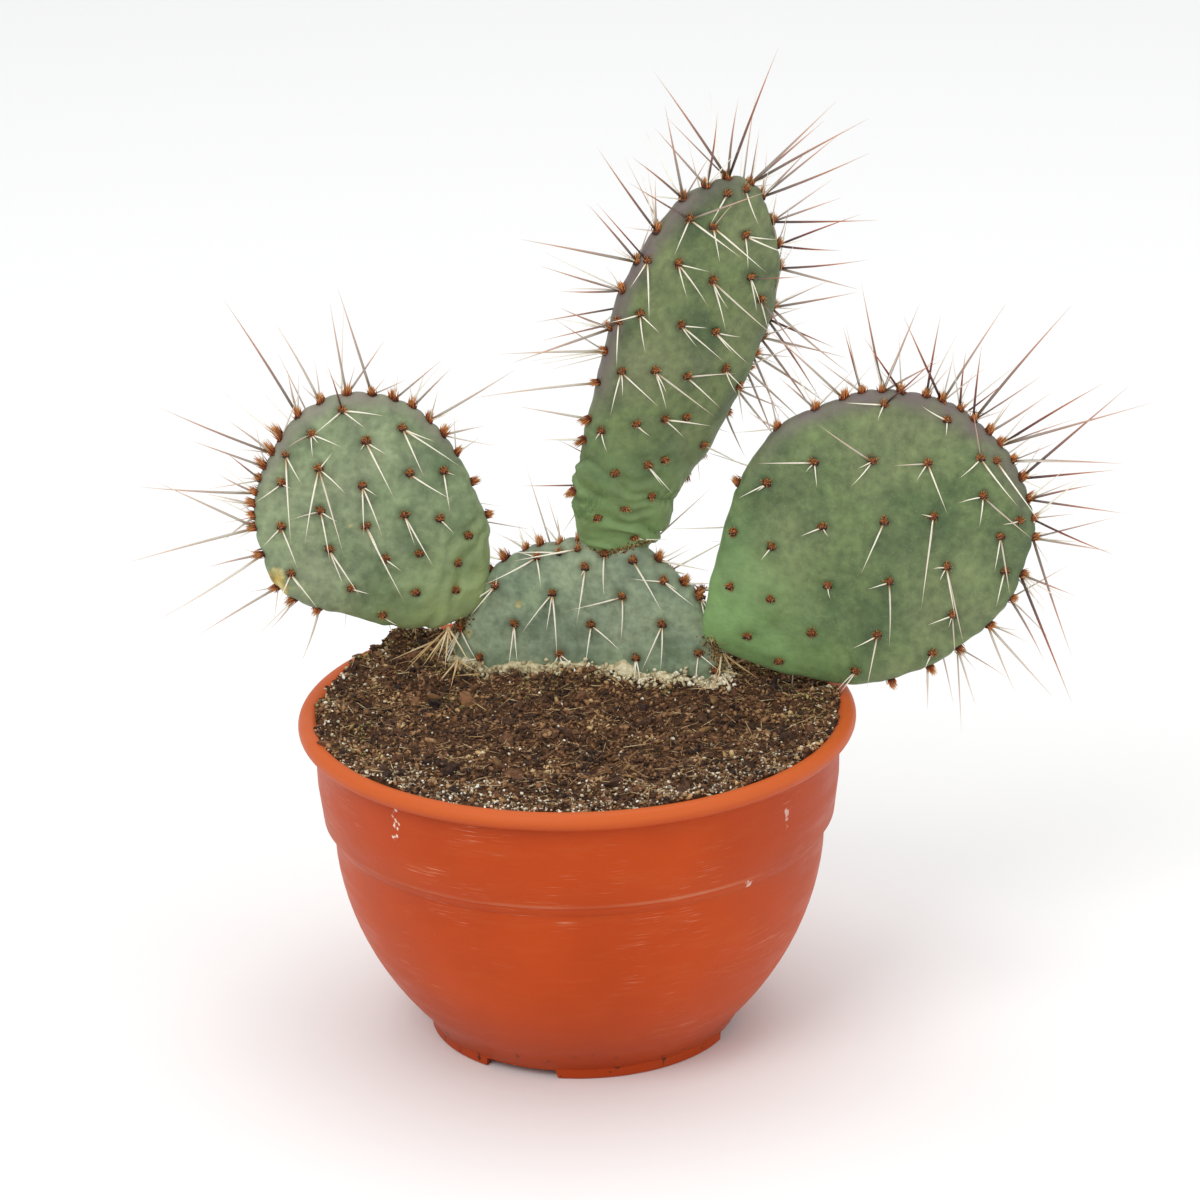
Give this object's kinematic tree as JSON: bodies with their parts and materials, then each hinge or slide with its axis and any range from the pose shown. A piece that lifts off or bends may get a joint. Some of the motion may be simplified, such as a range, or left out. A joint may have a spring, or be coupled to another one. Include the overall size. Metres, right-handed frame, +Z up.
{
  "type": "potted prickly pear cactus",
  "caption": "Prickly pear cactus with flat oval pads branching from a half-buried pad, long spines, rooted in soil in a bowl-shaped plastic pot.",
  "frame": {"origin": "middle of the whole object's footprint, on the surface it stands on", "axes": "+Z up, the pads' fronts face -Y, +X to the right seen from the front"},
  "size_m": [0.4198, 0.2296, 0.417],
  "materials": {
    "terracotta_plastic": "satin moulded polypropylene, scuffed and chalky",
    "potting_soil": "loose dark peat with pale grit",
    "root_wood": "fibrous root bark",
    "lime_crust": "dry crumbly crust",
    "old_pad_skin": "waxy blue-grey skin",
    "grey_pad_skin": "waxy grey-green skin",
    "green_pad_skin": "waxy green skin with a purplish upper edge",
    "glochid": "dense rust-brown bristles",
    "spine": "hard needle, ivory on the faces and red-brown on the rims"
  },
  "bodies": {
    "root": {"left_face_spines_1": "spine", "left_face_spines_2": "spine", "left_face_spines_3": "spine", "left_pad": "grey_pad_skin", "left_rim_spines_01": "spine", "left_rim_spines_02": "spine", "left_rim_spines_03": "spine", "left_rim_spines_04": "spine", "left_rim_spines_05": "spine", "left_rim_spines_06": "spine", "left_rim_spines_07": "spine", "left_rim_spines_08": "spine", "left_rim_spines_09": "spine", "left_rim_spines_10": "spine", "left_rim_spines_11": "spine", "middle_face_spines_1": "spine", "middle_face_spines_2": "spine", "middle_face_spines_3": "spine", "middle_pad": "green_pad_skin", "middle_rim_spines_01": "spine", "middle_rim_spines_02": "spine", "middle_rim_spines_03": "spine", "middle_rim_spines_04": "spine", "middle_rim_spines_05": "spine", "middle_rim_spines_06": "spine", "middle_rim_spines_07": "spine", "middle_rim_spines_08": "spine", "middle_rim_spines_09": "spine", "middle_rim_spines_10": "spine", "middle_rim_spines_11": "spine", "middle_rim_spines_12": "spine", "middle_rim_spines_13": "spine", "middle_rim_spines_14": "spine", "middle_rim_spines_15": "spine", "mother_face_spines_1": "spine", "mother_face_spines_2": "spine", "mother_pad": "old_pad_skin", "mother_rim_spines_01": "spine", "mother_rim_spines_02": "spine", "mother_rim_spines_03": "spine", "pot": "terracotta_plastic", "right_face_spines_1": "spine", "right_face_spines_2": "spine", "right_face_spines_3": "spine", "right_face_spines_4": "spine", "right_pad": "green_pad_skin", "right_rim_spines_01": "spine", "right_rim_spines_02": "spine", "right_rim_spines_03": "spine", "right_rim_spines_04": "spine", "right_rim_spines_05": "spine", "right_rim_spines_06": "spine", "right_rim_spines_07": "spine", "right_rim_spines_08": "spine", "right_rim_spines_09": "spine", "right_rim_spines_10": "spine", "right_rim_spines_11": "spine", "root_system": "root_wood", "soil": "potting_soil", "soil_line_crust": "lime_crust"}
  },
  "joints": []
}
